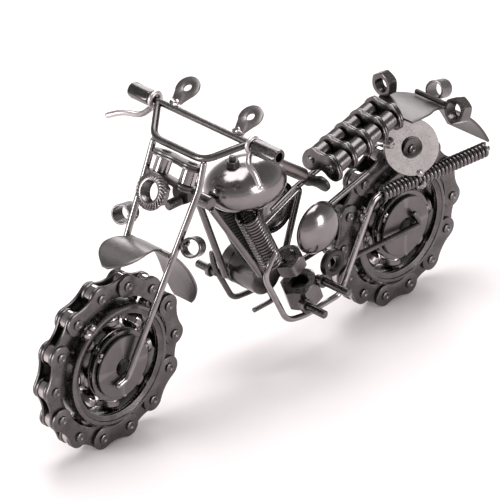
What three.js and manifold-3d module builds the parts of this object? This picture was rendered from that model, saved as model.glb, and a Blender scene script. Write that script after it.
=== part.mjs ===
// Desk-model motorcycle welded from scrap hardware: roller-chain tyres on ball
// bearings, bent rod, springs, nuts and washers. Millimetres, +X forward, +Y to
// the rider's left, +Z up. The origin is on the ground under the middle.
import * as THREE from 'three';
import { mergeVertices } from 'three/addons/utils/BufferGeometryUtils.js';
import Module from 'manifold-3d';

const wasm = await Module();
wasm.setup();

const v = (x, y, z) => new THREE.Vector3(x, y, z);
const radians = THREE.MathUtils.degToRad;

// ---- Driving dimensions -------------------------------------------------
const GAP = 0.3; // clearance left between touching pieces
const PITCH = 12.7; // half-inch chain
const LINKS = 14;
const LINK_ANGLE = (2 * Math.PI) / LINKS;
const PIN_CIRCLE = PITCH / (2 * Math.sin(Math.PI / LINKS));
const PLATE_END = 4.25; // radius of a link plate round its pin
const PLATE_WAIST = 3.0;
const HUB_Z = PIN_CIRCLE * Math.cos(Math.PI / LINKS) + PLATE_END;
const FRONT_X = 79.3;
const REAR_X = -62.8;
const MIDDLE_X = 4.2; // the whole part is shifted back by this to centre its length
const AXLE = v(0, 1, 0);

const PIN_R = 1.8;
const PIN_HALF = 4.5;
const ROLLER_R = 3.3;
const INNER_PLATE = [1.3, 2.5]; // from and to, measured out from the middle plane
const OUTER_PLATE = [2.5, 3.7];

const RACE_OUT = 22.5; // bearing: outer race, balls in a cage, inner race
const RACE_HALF = 6;
const RACE_BORE = 10;
const OUTER_SHOULDER = 19.1;
const OUTER_GROOVE = 20.1;
const INNER_SHOULDER = 13.4;
const INNER_GROOVE = 12.4;
const GROOVE_HALF = 2.7;
const BALL_CIRCLE = 16.25;
const BALL_R = 3.7;
const BALLS = 8;
const CAGE_HALF = [0.5, 1.1]; // half thickness and half width
const WELD = { radius: 1.6, stretch: 2.4, pins: [1, 5, 8, 12] };

const HUB_WASHER = { outer: 11.6, hole: 3.3, from: RACE_HALF + GAP, to: RACE_HALF + GAP + 1.1 };
const ROD = 1.1; // radius of the thin rod that most of the frame is bent from
const BAR_ROD = 1.3;
const LEG_ROD = 1.2;
const HUB_ROD_Y = HUB_WASHER.to + GAP + LEG_ROD; // a rod welded to a hub washer

const RAKE = radians(26);
const FORK_UP = v(-Math.sin(RAKE), 0, Math.cos(RAKE));
const FORK_OUT = v(Math.cos(RAKE), 0, Math.sin(RAKE));
const CYLINDER_UP = v(0.35, 0, 0.937).normalize();
const SPRING_UP = v(0.455, 0, 0.89).normalize();
const LAMP_AXIS = v(0.955, 0, 0.295).normalize();

const BAR_TOP = v(32.6, 22.3, 107.5);
const BAR_LOW = v(44.7, 12.4, 101.7);
const STUB_Y = 25; // the bar's straight ends, where the grips start
const GRIP = { length: { left: 11.6, right: 9.8 }, radius: 3, hole: 1.5, depth: 4 };
const NECK = v(46.2, 0, 93.6);
const TANK = { centre: v(12.1, 0, 75.7), size: v(17.1, 12, 9.9), pitch: radians(-5.5) };
const FENDER_SHEET = 0.9;

const COLOURS = { gunmetal: 0x5e5a5b, dark: 0x3c393b, mirror: 0x8c8683, satin: 0xa39b9b, plate: 0x7b7274 };
const SIDES = [['left', 1], ['right', -1]];

// ---- Tools ----------------------------------------------------------------
const along = (start, direction, distance) => start.clone().addScaledVector(direction, distance);
const join = (parts) => parts.reduce((whole, part) => whole.add(part));
const toSide = (points, side) => points.map(([x, y, z]) => v(x, side * y, z));

function signedVolume(position, corners) {
  const [a, b, c] = [v(), v(), v()];
  let sum = 0;
  for (let i = 0; i < corners.length; i += 3) {
    a.fromBufferAttribute(position, corners[i]);
    b.fromBufferAttribute(position, corners[i + 1]);
    c.fromBufferAttribute(position, corners[i + 2]);
    sum += a.dot(b.cross(c));
  }
  return sum;
}

// A closed geometry as a solid, with merged vertices and its faces pointing out.
function solid(geometry) {
  const bare = geometry.clone();
  bare.deleteAttribute('normal');
  bare.deleteAttribute('uv');
  const merged = mergeVertices(bare, 1e-4);
  const all = merged.index.array;
  const kept = [];
  for (let i = 0; i < all.length; i += 3) {
    const [a, b, c] = [all[i], all[i + 1], all[i + 2]];
    if (a !== b && b !== c && c !== a) kept.push(a, b, c);
  }
  const inward = signedVolume(merged.attributes.position, kept) < 0;
  if (inward) kept.reverse();
  const vertProperties = new Float32Array(merged.attributes.position.array);
  return new wasm.Manifold(new wasm.Mesh({ numProp: 3, vertProperties, triVerts: new Uint32Array(kept) }));
}

function geometryOf(body) {
  const mesh = body.getMesh();
  const geometry = new THREE.BufferGeometry();
  geometry.setAttribute('position', new THREE.BufferAttribute(new Float32Array(mesh.vertProperties), 3));
  geometry.setIndex(new THREE.BufferAttribute(new Uint32Array(mesh.triVerts), 1));
  geometry.computeVertexNormals();
  return geometry;
}

// The biggest piece that is left after a cut.
function largest(body) {
  return body.decompose().reduce((best, piece) => (piece.volume() > best.volume() ? piece : best));
}

// A turned piece from start along direction. profile: [radius, distance] pairs.
function turned(profile, start, direction, sides, turn = 0) {
  const lathe = new THREE.LatheGeometry(profile.map(([r, h]) => new THREE.Vector2(r, h)), sides);
  lathe.rotateX(Math.PI / 2).rotateZ(turn);
  const aim = new THREE.Quaternion().setFromUnitVectors(v(0, 0, 1), direction);
  return solid(lathe.applyMatrix4(new THREE.Matrix4().compose(start, aim, v(1, 1, 1))));
}

function bar(start, direction, length, radius, { sides = 10, turn = 0, grow = 0 } = {}) {
  const [r, low, high] = [radius + grow, -grow, length + grow];
  return turned([[0, low], [r, low], [r, high], [0, high]], start, direction, sides, turn);
}

function ring(start, direction, length, outer, inner, sides = 16, turn = 0) {
  const profile = [[inner, 0], [outer, 0], [outer, length], [inner, length], [inner, 0]];
  return turned(profile, start, direction, sides, turn);
}

// A path through corners, with each bend rounded by a short arc.
class BentLine extends THREE.Curve {
  constructor(corners, bend, cuts) {
    super();
    this.points = [corners[0]];
    for (let i = 1; i < corners.length - 1; i++) {
      const back = corners[i - 1].clone().sub(corners[i]);
      const ahead = corners[i + 1].clone().sub(corners[i]);
      const reach = Math.min(bend, back.length() * 0.45, ahead.length() * 0.45);
      const from = along(corners[i], back.normalize(), reach);
      const to = along(corners[i], ahead.normalize(), reach);
      this.points.push(...new THREE.QuadraticBezierCurve3(from, corners[i], to).getPoints(cuts));
    }
    this.points.push(corners[corners.length - 1]);
  }

  getPointAt(u) {
    return this.points[Math.round(u * (this.points.length - 1))].clone();
  }

  getTangentAt(u) {
    const i = Math.round(u * (this.points.length - 1));
    const before = this.points[Math.max(i - 1, 0)];
    const after = this.points[Math.min(i + 1, this.points.length - 1)];
    return after.clone().sub(before).normalize();
  }
}

function rod(corners, radius, { bend = 3, cuts = 3, sides = 8, grow = 0 } = {}) {
  const path = new BentLine(corners, bend, cuts);
  const section = [];
  for (let i = 0; i < sides; i++) {
    const a = (2 * Math.PI * i) / sides;
    section.push(new THREE.Vector2((radius + grow) * Math.cos(a), (radius + grow) * Math.sin(a)));
  }
  const options = { steps: path.points.length - 1, extrudePath: path };
  return solid(new THREE.ExtrudeGeometry(new THREE.Shape(section), options));
}

// A flat plate: outline along xAxis and yAxis from origin, thickness along their normal.
function plate(outline, from, to, origin, xAxis, yAxis, holes = []) {
  const shape = new THREE.Shape(outline.map(([x, y]) => new THREE.Vector2(x, y)));
  for (const [x, y, r] of holes) shape.holes.push(new THREE.Path().absarc(x, y, r, 0, 2 * Math.PI, true));
  const flat = new THREE.ExtrudeGeometry(shape, { depth: to - from, bevelEnabled: false, curveSegments: 10 });
  flat.translate(0, 0, from);
  const basis = new THREE.Matrix4().makeBasis(xAxis, yAxis, xAxis.clone().cross(yAxis));
  return solid(flat.applyMatrix4(basis.setPosition(origin)));
}

// Outline of a row of round link ends: centres along x, radius end, waist between them.
// Each end has a true flat at its radius, half a link angle to both sides.
function linkOutline(centres, end, waist, droop = () => 0) {
  const top = [];
  const flat = end * Math.tan(LINK_ANGLE / 2);
  centres.forEach((x, i) => {
    const last = i === centres.length - 1;
    if (i === 0) top.push([x - end, 0, droop(x)]);
    top.push([x - flat, end, droop(x)], [x + flat, end, droop(x)]);
    if (last) top.push([x + end, 0, droop(x)]);
    if (!last) {
      const middle = (x + centres[i + 1]) / 2;
      top.push([middle, waist, droop(middle)]);
    }
  });
  const bottom = top.slice(1, -1).reverse().map(([x, y, drop]) => [x, -y, drop]);
  return [...top, ...bottom].map(([x, y, drop]) => [x, y - drop]);
}

const group = new THREE.Group();
function add(name, colour, body, roughness = 0.3) {
  const material = new THREE.MeshStandardMaterial({ color: COLOURS[colour], metalness: 1, roughness });
  const mesh = new THREE.Mesh(geometryOf(largest(body)).translate(-MIDDLE_X, 0, 0), material);
  mesh.name = name;
  group.add(mesh);
}

// ---- Wheels ------------------------------------------------------------------
const pinAngle = (i) => Math.PI / 2 + (i + 0.5) * LINK_ANGLE;
const onWheel = (x, radius, angle, y = 0) => v(x + radius * Math.cos(angle), y, HUB_Z + radius * Math.sin(angle));

function chainTyre(x) {
  const parts = [];
  const outline = linkOutline([-PITCH / 2, PITCH / 2], PLATE_END, PLATE_WAIST);
  const pinEnds = [[OUTER_PLATE[1], PIN_HALF], [-PIN_HALF, -OUTER_PLATE[1]]];
  for (let i = 0; i < LINKS; i++) {
    for (const [from, to] of pinEnds) {
      parts.push(bar(onWheel(x, PIN_CIRCLE, pinAngle(i), from), AXLE, to - from, PIN_R, { sides: 5 }));
    }
    const roller = onWheel(x, PIN_CIRCLE, pinAngle(i), -INNER_PLATE[0]);
    parts.push(bar(roller, AXLE, 2 * INNER_PLATE[0], ROLLER_R, { sides: 6 }));
    const middle = pinAngle(i) + LINK_ANGLE / 2;
    const centre = onWheel(x, PIN_CIRCLE * Math.cos(LINK_ANGLE / 2), middle);
    const tangent = v(-Math.sin(middle), 0, Math.cos(middle));
    const outward = v(Math.cos(middle), 0, Math.sin(middle));
    const [near, far] = i % 2 ? INNER_PLATE : OUTER_PLATE;
    for (const [from, to] of [[near, far], [-far, -near]]) {
      parts.push(plate(outline, from, to, centre, tangent, outward));
    }
  }
  return join(parts);
}

// The outer race carries the weld beads that reach out to the chain.
function outerRace(x) {
  const profile = [
    [OUTER_SHOULDER, -RACE_HALF], [RACE_OUT, -RACE_HALF], [RACE_OUT, RACE_HALF], [OUTER_SHOULDER, RACE_HALF],
    [OUTER_SHOULDER, GROOVE_HALF], [OUTER_GROOVE, 1.2], [OUTER_GROOVE, -1.2], [OUTER_SHOULDER, -GROOVE_HALF],
    [OUTER_SHOULDER, -RACE_HALF],
  ];
  const parts = [turned(profile, v(x, 0, HUB_Z), AXLE, 28)];
  for (const pin of WELD.pins) {
    const { x: bx, y: by, z: bz } = onWheel(x, RACE_OUT - 0.1, pinAngle(pin));
    const bead = new THREE.SphereGeometry(WELD.radius, 6, 4).scale(1, WELD.stretch, 1);
    parts.push(solid(bead.rotateY(-pinAngle(pin)).translate(bx, by, bz)));
  }
  return join(parts);
}

function ballSet(x) {
  const [thick, wide] = CAGE_HALF;
  const [low, high] = [BALL_CIRCLE - thick, BALL_CIRCLE + thick];
  const parts = [ring(v(x, -wide, HUB_Z), AXLE, 2 * wide, high, low, BALLS)];
  for (let i = 0; i < BALLS; i++) {
    const { x: bx, y: by, z: bz } = onWheel(x, BALL_CIRCLE, Math.PI / 2 + (i * 2 * Math.PI) / BALLS);
    parts.push(solid(new THREE.SphereGeometry(BALL_R, 7, 5).translate(bx, by, bz)));
  }
  return join(parts);
}

function innerRace(x) {
  const profile = [
    [RACE_BORE, -RACE_HALF], [INNER_SHOULDER, -RACE_HALF], [INNER_SHOULDER, -GROOVE_HALF], [INNER_GROOVE, -1.1],
    [INNER_GROOVE, 1.1], [INNER_SHOULDER, GROOVE_HALF], [INNER_SHOULDER, RACE_HALF], [RACE_BORE, RACE_HALF],
    [RACE_BORE, -RACE_HALF],
  ];
  return turned(profile, v(x, 0, HUB_Z), AXLE, 24);
}

for (const [end, x] of [['front', FRONT_X], ['rear', REAR_X]]) {
  add(`${end}_chain_tyre`, 'gunmetal', chainTyre(x));
  add(`${end}_outer_race`, 'gunmetal', outerRace(x));
  add(`${end}_ball_set`, 'mirror', ballSet(x), 0.15);
  add(`${end}_inner_race`, 'gunmetal', innerRace(x));
  for (const [side, sign] of SIDES) {
    const { outer, hole, from, to } = HUB_WASHER;
    const face = v(x, sign > 0 ? from : -to, HUB_Z);
    add(`${end}_hub_washer_${side}`, 'plate', ring(face, AXLE, to - from, outer, hole, 24));
  }
}

// ---- Handlebar, fork and what they carry ---------------------------------------
const barLine = (grow) => bar(v(BAR_TOP.x, -STUB_Y, BAR_TOP.z), AXLE, 2 * STUB_Y, BAR_ROD, { sides: 8, grow });
const barLow = v(BAR_LOW.x, -BAR_LOW.y, BAR_LOW.z);
const barFar = v(BAR_TOP.x, -BAR_TOP.y, BAR_TOP.z);
add('handlebar', 'gunmetal', barLine(0).add(rod([BAR_TOP, BAR_LOW, barLow, barFar], BAR_ROD)));

function gripShape(side, sign, grow) {
  const start = v(BAR_TOP.x, sign * (STUB_Y + GAP), BAR_TOP.z);
  return bar(start, v(0, sign, 0), GRIP.length[side], GRIP.radius, { sides: 6, grow });
}

function grip(side, sign) {
  const mouth = v(BAR_TOP.x, sign * (STUB_Y + GAP + GRIP.length[side] - GRIP.depth), BAR_TOP.z);
  return gripShape(side, sign, 0).subtract(bar(mouth, v(0, sign, 0), GRIP.depth + 1, GRIP.hole, { sides: 8 }));
}

// An eye of bent wire round the bar, then a wavy blade out beside the grip.
function lever(side, sign) {
  const eye = bar(v(BAR_TOP.x, sign * 23.8 - 1, BAR_TOP.z), AXLE, 2, 3.5, { sides: 12 });
  const route = [[34.2, 23.4, 105], [37.1, 26.2, 102.1], [40, 32.5, 102.3], [42.9, 38.2, 99.6]];
  const blade = rod(toSide(route, sign), 1.1, { bend: 2.6, cuts: 2, sides: 6 });
  return eye.add(blade).subtract(barLine(GAP)).subtract(handlebarSpace).subtract(gripShape(side, sign, GAP));
}

// A ring terminal: round head with a hole, tapering down to the bar.
const MIRROR = { stem: 7.8, head: 4.75, hole: 1.6, foot: 2.2, thick: 1.1, lean: radians(58) };
function mirror(sign) {
  const up = v(-Math.sin(MIRROR.lean), 0, Math.cos(MIRROR.lean));
  const outline = [[MIRROR.foot, 0]];
  for (let degrees = -30; degrees <= 210; degrees += 24) {
    const a = radians(degrees);
    outline.push([MIRROR.head * Math.cos(a), MIRROR.stem + MIRROR.head * Math.sin(a)]);
  }
  outline.push([-MIRROR.foot, 0]);
  const base = along(v(BAR_TOP.x, sign * 15.4, BAR_TOP.z), up, BAR_ROD + GAP);
  const half = MIRROR.thick / 2;
  return plate(outline, -half, half, base, v(0, 1, 0), up, [[0, MIRROR.stem, MIRROR.hole]]);
}

const LEG = [[44.4, 12.3, 101.4], [47.6, 12.8, 91.4], [79.1, HUB_ROD_Y, 27.9], [84.3, HUB_ROD_Y, 26.6]];
const handlebarSpace = rod([BAR_TOP, BAR_LOW, barLow, barFar], BAR_ROD, { grow: GAP });
const INDICATOR = { length: 7.4, outer: 3.7, inner: 2.95 };
const INDICATORS = {
  left: { mouth: v(56.6, 17.6, 74.2), axis: v(0.8, 0.43, 0.41).normalize() },
  right: { mouth: v(57, -16.6, 74.2), axis: v(0.916, 0.277, 0.288).normalize() },
};
for (const [side, sign] of SIDES) {
  add(`grip_${side}`, 'gunmetal', grip(side, sign));
  add(`lever_${side}`, 'satin', lever(side, sign));
  add(`mirror_${side}`, 'plate', mirror(sign));
  add(`fork_leg_${side}`, 'satin', rod(toSide(LEG, sign), LEG_ROD, { bend: 2, cuts: 2 }).subtract(handlebarSpace), 0.2);
  const { mouth, axis } = INDICATORS[side];
  const { length, outer, inner } = INDICATOR;
  add(`indicator_${side}`, 'gunmetal', ring(along(mouth, axis, -length), axis, length, outer, inner));
}

// A flanged nut for a lamp, serrated rim to the front.
const LAMP = { front: v(59, 0, 90.6), flange: 6.8, rim: 1.7, body: 5.9, length: 5.2, bore: 3.9 };
const lampBack = along(LAMP.front, FORK_OUT, -LAMP.length);
const lampBody = (grow) => bar(lampBack, FORK_OUT, LAMP.length, LAMP.body, { sides: 6, grow });
const lampRim = bar(along(LAMP.front, FORK_OUT, -LAMP.rim), FORK_OUT, LAMP.rim, LAMP.flange, { sides: 20 });
const lampBore = bar(lampBack, FORK_OUT, LAMP.length, LAMP.bore, { sides: 14, grow: 1 });
add('headlight_nut', 'satin', lampBody(0).add(lampRim).subtract(lampBore));

// One chain link across the fork: plates above and below, two upright rollers.
function neckChain() {
  const outline = linkOutline([-PITCH / 2, PITCH / 2], 4.9, 3.2);
  const parts = [[-4.8, -2.8], [2.8, 4.8]].map(([from, to]) => plate(outline, from, to, NECK, AXLE, FORK_OUT.clone().negate()));
  for (const y of [-PITCH / 2, PITCH / 2]) {
    parts.push(bar(along(v(NECK.x, y, NECK.z), FORK_UP, -5.4), FORK_UP, 10.8, 1.7, { sides: 8 }));
    parts.push(bar(along(v(NECK.x, y, NECK.z), FORK_UP, -3), FORK_UP, 6, 2.9, { sides: 10 }));
  }
  return join(parts).subtract(lampBody(GAP)).subtract(handlebarSpace);
}
add('neck_chain', 'gunmetal', neckChain());

const neckScrew = bar(v(35.2, 0, 81.4), v(1, 0, 0), 15, 1.75, { sides: 8 });
add('neck_bolt', 'dark', neckScrew.add(bar(v(38, 0, 83.6), v(1, 0, 0), 6.4, 4.4, { sides: 6 })));

const lug = (grow) => bar(v(32.4, -3.6, 76.6), AXLE, 7.2, 2.6, { sides: 12, grow });
const tankShape = (grow) => {
  const egg = new THREE.SphereGeometry(1, 20, 12).rotateX(Math.PI / 2);
  egg.scale(TANK.size.x + grow, TANK.size.y + grow, TANK.size.z + grow).rotateY(TANK.pitch);
  return solid(egg.translate(TANK.centre.x, TANK.centre.y, TANK.centre.z));
};
add('neck_lug', 'gunmetal', lug(0).subtract(tankShape(GAP)).subtract(neckScrew));

// A sheet bent round a wheel: an arc band cut to a plan outline.
function fender(profile, plan) {
  const outer = profile.map(([r, degrees]) => [r * Math.cos(radians(degrees)), r * Math.sin(radians(degrees))]);
  const inner = outer.map(([x, z]) => {
    const r = Math.hypot(x, z);
    return [(x * (r - FENDER_SHEET)) / r, (z * (r - FENDER_SHEET)) / r];
  });
  const deep = 30;
  return (centreX) => {
    const band = plate([...outer, ...inner.reverse()], -deep, deep, v(centreX, 0, HUB_Z), v(1, 0, 0), v(0, 0, 1));
    const halves = [...plan, ...plan.map(([x, y]) => [x, -y]).reverse()];
    return band.intersect(plate(halves, 0, 200, v(0, 0, 0), v(1, 0, 0), v(0, 1, 0)));
  };
}
const frontArc = [[37.6, 90], [40.4, 96], [42.4, 104], [43.1, 112], [42.9, 122], [42, 134], [40.6, 146], [39.2, 156], [38.2, 165]];
const frontPlan = [[80, 3], [79, 7.5], [74, 8.8], [68, 7.6], [62, 5.8], [56, 6.8], [49, 8.4], [44, 7.6], [40, 5]];
const frontStay = bar(v(58.9, -9.8, 68.8), AXLE, 19.6, 0.9, { sides: 8 });
add('front_fender', 'plate', fender(frontArc, frontPlan)(FRONT_X).add(frontStay), 0.25);

// ---- Frame ---------------------------------------------------------------------
const EXHAUST = [
  [8.7, 11.9, 52], [14.4, 11.6, 43.4], [2.8, 11.4, 21], [-6.1, 11.4, 19.4], [-23.8, 11.4, 20.9],
  [-26, 11.6, 24.2], [-40.9, 12, 54.2], [-101.6, 12, 51.3],
];
const exhaustShape = (grow) => rod(toSide(EXHAUST, 1), ROD, { grow, bend: 3.4 });
add('exhaust_pipe', 'satin', exhaustShape(0), 0.2);

const mufflerFrom = v(-44, 12, 54.2 - (3.1 * 2.9) / 60.7);
const mufflerAxis = v(-60.7, 0, -2.9).normalize();
add('exhaust_spring', 'gunmetal', ring(mufflerFrom, mufflerAxis, 56.5, 2.55, ROD + GAP, 12));

const RAIL_RIGHT = [
  [17.2, 11.8, 45.8], [15.8, 11.8, 38.8], [6.6, 11.8, 22.4], [-3.1, 11.8, 21.6], [-30, 11.4, 24.5],
  [-68.9, HUB_ROD_Y, 31.4], [-64.9, HUB_ROD_Y, 37.6],
];
add('frame_rail_right', 'gunmetal', rod(toSide(RAIL_RIGHT, -1), ROD));
const STAY_LEFT = [[-29, 11, 33.1], [-68.9, HUB_ROD_Y, 31.4], [-64.9, HUB_ROD_Y, 37.6]];
add('rear_stay_left', 'gunmetal', rod(toSide(STAY_LEFT, 1), ROD).subtract(exhaustShape(GAP)));

const tubeLeft = rod([v(32.6, 3, 75.5), v(13.3, 9.4, 42.6)], 1.3);
const tubeRight = (grow) => rod([v(32.6, -3, 75.5), v(12.9, -9, 35.2)], 1.3, { grow });
add('down_tube_left', 'gunmetal', tubeLeft.subtract(lug(GAP)).subtract(exhaustShape(GAP)));
add('down_tube_right', 'gunmetal', tubeRight(0).subtract(lug(GAP)));

// ---- Engine ----------------------------------------------------------------------
const nutAt = v(-3, 7, 41.1);
const nutBody = (grow) => bar(along(nutAt, SPRING_UP, -3), SPRING_UP, 6, 5.9, { sides: 6, grow, turn: 0.3 });
const nutBolt = bar(along(nutAt, SPRING_UP, -3.8), SPRING_UP, 8.3, 2.9, { sides: 10 });
const SPRING = { foot: [4.7, 5.7, 43.3], length: 28, outer: 4.5, inner: 2.4 };
const springFoot = (sign) => toSide([SPRING.foot], sign)[0];
const springSpace = (sign, length) => bar(springFoot(sign), SPRING_UP, length, SPRING.outer, { grow: GAP });
add('cylinder_nut', 'gunmetal', nutBody(0).add(nutBolt).subtract(springSpace(1, SPRING.length)));

for (const [side, sign] of SIDES) {
  const spring = ring(springFoot(sign), SPRING_UP, SPRING.length, SPRING.outer, SPRING.inner, 14);
  add(`engine_spring_${side}`, 'gunmetal', spring.subtract(tankShape(GAP)));
}

const crankShape = (grow) => bar(v(2.6, -15.5, 35.3), AXLE, 17, 7.4, { sides: 20, grow });
const crankBore = bar(v(2.6, -16, 35.3), AXLE, 8, 3.2, { sides: 12 });
const springFeet = SIDES.map(([, sign]) => springSpace(sign, 12));
add('crankcase', 'mirror', crankShape(0).subtract(crankBore).subtract(nutBody(GAP)).subtract(join(springFeet)), 0.22);

const GEAR = { top: v(-9.8, 5, 29.8), height: 9, radius: 7.2, bore: 3.2 };
const gearBase = along(GEAR.top, CYLINDER_UP, -GEAR.height);
const gearShape = (grow) => bar(gearBase, CYLINDER_UP, GEAR.height, GEAR.radius, { sides: 12, grow });
const gearBore = bar(gearBase, CYLINDER_UP, GEAR.height, GEAR.bore, { grow: 1 });
add('gearbox_nut', 'gunmetal', [gearBore, crankShape(GAP), nutBody(GAP), exhaustShape(GAP)]
  .reduce((left, cut) => left.subtract(cut), gearShape(0)));

// Foot pegs: a round bar with a collar at its inner end.
function peg(start, direction, length, cutters) {
  const body = bar(start, direction, length, 1.5, { sides: 10 }).add(bar(along(start, direction, 2.4), direction, 1.6, 2.6, { sides: 12 }));
  return cutters.reduce((left, cut) => left.subtract(cut), body);
}
const railSpace = rod(toSide(RAIL_RIGHT, -1), ROD, { grow: GAP });
add('peg_front_left', 'gunmetal', peg(v(-6, 7, 24), AXLE, 15, [gearShape(GAP), exhaustShape(GAP)]));
add('peg_rear_left', 'gunmetal', peg(v(-14.4, 7, 30.9), AXLE, 18.5, [gearShape(GAP)]));
add('peg_right', 'gunmetal', peg(v(14.6, -10.4, 36.2), v(0, -1, 0), 11, [railSpace, crankShape(GAP), tubeRight(GAP)]));

const FOOT_ROD = [v(3.7, -4.2, 19.3), v(-6.4, -4.2, 19.6), v(-1.6, -4.2, 29.5)];
add('foot_rod', 'gunmetal', rod(FOOT_ROD, 0.95, { bend: 2 }).subtract(crankShape(GAP)).subtract(gearShape(GAP)));

// Dished covers, open to the inside.
function dome(sign) {
  const [radius, height, wall, cuts] = [9.9, 6, 0.8, 5];
  const arc = (r, h) => Array.from({ length: cuts + 1 }, (_, i) => {
    const a = (i / cuts) * (Math.PI / 2);
    return [r * Math.cos(a), h * Math.sin(a)];
  });
  const profile = [...arc(radius, height), ...arc(radius - wall, height - wall).reverse()];
  profile[cuts][0] = 0;
  profile[cuts + 1][0] = 0;
  profile.push(profile[0]);
  return turned(profile, v(-13.3, sign * 10.1, 52.1), v(0, sign, 0), 18);
}
for (const [side, sign] of SIDES) {
  add(`side_dome_${side}`, 'mirror', dome(sign), 0.15);
  const route = toSide([[-10, 8.6, 52.6], [-21.2, 8.6, 57.3], [-41, 8.6, 62.8]], sign);
  add(`seat_rail_${side}`, 'dark', rod(route, 1.2));
}
add('side_ring', 'gunmetal', ring(v(-21.9, 8.6, 34.3), AXLE, 2.6, 5.4, 2.8, 14));

// ---- Tank, seat and tail -----------------------------------------------------------
add('tank', 'mirror', tankShape(0), 0.12);
add('tank_cap', 'gunmetal', bar(v(18.5, 0, 83), v(0, 0, 1), 6.2, 2.6, { sides: 6 }).subtract(tankShape(GAP)));

const backboneAxis = v(-9.2, 0, -6.6).normalize();
add('backbone', 'satin', bar(v(-2, 0, 78.6), backboneAxis, 18.6, 2.4, { sides: 10 }).subtract(tankShape(GAP)));
add('seat_struts', 'gunmetal', rod([v(7.6, 0, 53.6), v(-15.4, 0, 63.6), v(-7, -0.8, 34)], 1.2, { bend: 2.5 })
  .subtract(gearShape(GAP)).subtract(crankShape(GAP)));

const WASHER = { centre: v(-62, 9.8, 65.7), normal: v(0.42, 0.83, 0.36).normalize(), outer: 10.4, hole: 3.9, thick: 1.3 };
const washerShape = (grow) => bar(WASHER.centre, WASHER.normal, WASHER.thick, WASHER.outer, { sides: 28, grow });
const SEAT = { rows: 5, first: -26.8, step: -7.8, z: 69.4, rise: 0.29, link: 4.9, end: 4.5, waist: 3.2, thick: 2 };
const seatDroop = (y) => (y * y) / 40;
const seatOutline = linkOutline([-SEAT.link, SEAT.link], SEAT.end, SEAT.waist, seatDroop);
function seatChain() {
  const parts = [];
  const run = SEAT.step * (SEAT.rows - 1);
  const axis = v(run, 0, -run * SEAT.rise);
  for (let i = 0; i < SEAT.rows; i++) {
    const x = SEAT.first + i * SEAT.step;
    const centre = v(x, 0, SEAT.z - i * SEAT.step * SEAT.rise);
    parts.push(plate(seatOutline, -SEAT.thick / 2, SEAT.thick / 2, centre, v(0, 1, 0), v(0, 0, 1)));
  }
  for (const y of [-SEAT.link, SEAT.link]) {
    const start = v(SEAT.first, y, SEAT.z - seatDroop(y));
    parts.push(bar(start, axis.clone().normalize(), axis.length(), 3.4, { sides: 8 }));
  }
  return join(parts);
}
add('seat_chain', 'gunmetal', seatChain().subtract(washerShape(GAP)));
const noseOutline = linkOutline([-4.4, 4.4], 3.3, 2.3, (y) => 1.4 - y * 0.16);
add('seat_nose', 'dark', plate(noseOutline, -0.8, 0.8, v(-22.2, 0, 64.5), AXLE, v(0.35, 0, 0.937)));

add('side_washer', 'satin', ring(WASHER.centre, WASHER.normal, WASHER.thick, WASHER.outer, WASHER.hole, 28), 0.35);

const rearArc = Array.from({ length: 10 }, (_, i) => [45.8, 86 + i * 7.5]);
const rearPlan = [[-59.9, 13], [-68, 12.4], [-75, 9.6], [-82, 8.4], [-94, 10], [-105, 10.6]];
add('rear_fender', 'plate', fender(rearArc, rearPlan)(REAR_X), 0.25);

add('ring_nut', 'gunmetal', ring(v(-70.4, -9.4, 82), v(1, 0, 0), 4, 4.9, 2.7, 6));
const TAIL_ROD = [v(-80.9, -5.5, 75.7), v(-80.9, 8.8, 75.7)];
add('tail_bracket', 'dark', rod(TAIL_ROD, 1));
add('tail_tube', 'gunmetal', ring(v(-90.7, -1, 74.9), v(0.9, 0.2, 0.3).normalize(), 7.4, 3.6, 2.9));
add('tail_nut', 'gunmetal', ring(v(-84, 14.4, 74.2), LAMP_AXIS, 4.8, 5.2, 2.8, 6));

export default group;
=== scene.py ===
"""Looks for a desk-model motorcycle welded together from scrap hardware.

Every shape is a closed mesh made here, in the millimetres the CAD part is drawn in, and
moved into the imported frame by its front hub. +X forward, +Y to the rider's left, +Z up.
"""
import math

import bmesh
import bpy
from mathutils import Matrix, Vector, noise


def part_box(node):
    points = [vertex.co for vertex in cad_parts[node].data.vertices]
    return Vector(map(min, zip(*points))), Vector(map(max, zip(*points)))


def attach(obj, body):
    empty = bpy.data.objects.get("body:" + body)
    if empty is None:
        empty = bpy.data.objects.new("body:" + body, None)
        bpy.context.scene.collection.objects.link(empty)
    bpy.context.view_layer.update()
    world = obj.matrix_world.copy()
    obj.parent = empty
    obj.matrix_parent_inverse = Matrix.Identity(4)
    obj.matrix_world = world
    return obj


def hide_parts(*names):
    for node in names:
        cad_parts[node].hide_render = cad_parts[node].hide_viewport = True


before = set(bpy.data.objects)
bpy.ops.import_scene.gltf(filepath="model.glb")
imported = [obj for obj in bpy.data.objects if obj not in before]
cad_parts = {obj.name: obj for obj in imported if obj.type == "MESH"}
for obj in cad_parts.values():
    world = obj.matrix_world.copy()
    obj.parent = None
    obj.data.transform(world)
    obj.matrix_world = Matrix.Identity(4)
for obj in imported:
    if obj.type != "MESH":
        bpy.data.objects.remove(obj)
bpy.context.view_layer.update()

MM = 0.001
LEFT, RIGHT = 1, -1
SIDES = (("left", LEFT), ("right", RIGHT))
AXLE = Vector((0, 1, 0))
UP = Vector((0, 0, 1))
AHEAD = Vector((1, 0, 0))


def middle_of(node):
    low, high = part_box(node)
    return (low + high) / 2


# ---- Where things are -------------------------------------------------------------
FRONT_X = 79.3  # the front hub as the CAD part is drawn, before the part is centred on its length
SHIFT = FRONT_X - middle_of("front_chain_tyre").x / MM
HUB_X = {end: middle_of(f"{end}_chain_tyre").x / MM + SHIFT for end in ("front", "rear")}
HUB_Z = middle_of("front_outer_race").z / MM
REAR_X = HUB_X["rear"]

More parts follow.
